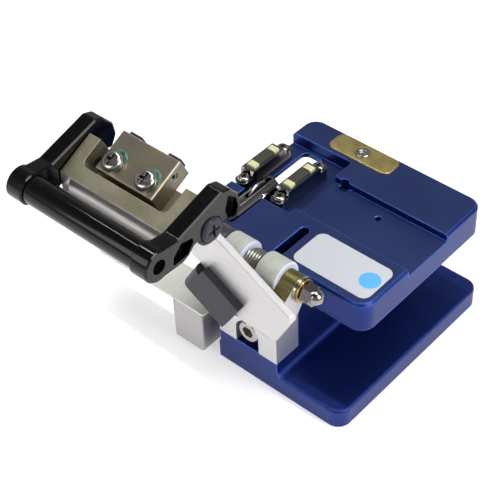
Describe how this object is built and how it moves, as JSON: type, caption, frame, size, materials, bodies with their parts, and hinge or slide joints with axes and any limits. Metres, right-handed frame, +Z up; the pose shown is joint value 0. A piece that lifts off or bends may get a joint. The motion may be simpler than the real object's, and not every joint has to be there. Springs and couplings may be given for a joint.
{
  "type": "optical fibre cleaver",
  "caption": "Bench cleaver for bare optical fibre: a hinged clamp lid with a rocking handle closes on rubber anvils while a slider carries a round blade under the fibre.",
  "frame": {"origin": "centre of the underside of the base plate", "axes": "+Z up from the base, +Y from the hinge to the user, +X along the fibre towards the fibre holder groove"},
  "size_m": [0.1075, 0.1301, 0.1],
  "materials": {
    "anodised_blue": "satin blue anodised aluminium",
    "bare_steel": "fine machined steel",
    "blasted_steel": "bead-blasted steel",
    "bright_steel": "bright nickel-plated",
    "black_metal": "gloss black enamel",
    "dark_metal": "satin dark grey",
    "light_alloy": "clear anodised aluminium",
    "brass": "plain brass",
    "gold_plate": "pale yellow passivated plate",
    "black_rubber": "moulded rubber",
    "white_plastic": "turned acetal",
    "spring_steel": "drawn spring wire",
    "blade_carbide": "ground tungsten carbide"
  },
  "bodies": {
    "base": {"base_plate": "anodised_blue", "deck_plate": "anodised_blue", "deck_screws": "bright_steel", "keeper_plate": "gold_plate", "keeper_screw": "bright_steel", "anvil_left": "bare_steel", "anvil_right": "bare_steel", "anvil_rubber_left": "black_rubber", "anvil_rubber_right": "black_rubber", "anvil_screws": "bright_steel", "hinge_bracket": "light_alloy", "stop_plate": "dark_metal", "bracket_screw": "bright_steel", "hinge_shaft": "bare_steel", "sleeve_left": "white_plastic", "sleeve_right": "white_plastic", "hinge_spring": "spring_steel", "steel_washer": "bright_steel", "brass_washer": "brass", "cap_nut": "bright_steel", "slide_rail": "bare_steel", "rail_screws": "bright_steel"},
    "lid": {"lid_arm": "dark_metal", "lid_body": "blasted_steel", "clamp_block": "blasted_steel", "clamp_screws": "bright_steel", "clamp_set_screw": "bright_steel", "clamp_pad_left": "black_rubber", "clamp_pad_right": "black_rubber", "pivot_screw_left": "black_metal", "pivot_screw_right": "black_metal"},
    "handle": {"cheek_left": "black_metal", "cheek_right": "black_metal", "handle_tube": "black_metal", "tube_screws": "black_metal"},
    "slider": {"slider": "light_alloy", "slider_shield": "bright_steel", "blade_housing": "bright_steel", "blade_screw": "bright_steel"},
    "blade": {"blade": "blade_carbide"}
  },
  "joints": [
    {"name": "lid_hinge", "type": "hinge", "parent": "base", "child": "lid", "pos_m": [0, -0.0369, 0.053], "axis": [-1, 0, 0], "range_deg": [0, 108.4], "stiffness_Nm_per_rad": 0.015, "springref_deg": -14.32},
    {"name": "handle_pivot", "type": "hinge", "parent": "lid", "child": "handle", "pos_m": [0, -0.062, 0.0891], "axis": [1, 0, 0], "range_deg": [0, 20]},
    {"name": "slider_travel", "type": "slide", "parent": "base", "child": "slider", "axis": [0, 1, 0], "range_m": [0, 0.0165]},
    {"name": "blade_index", "type": "hinge", "parent": "slider", "child": "blade", "pos_m": [-0.0272, -0.0055, 0.0454], "axis": [1, 0, 0], "continuous": true}
  ]
}
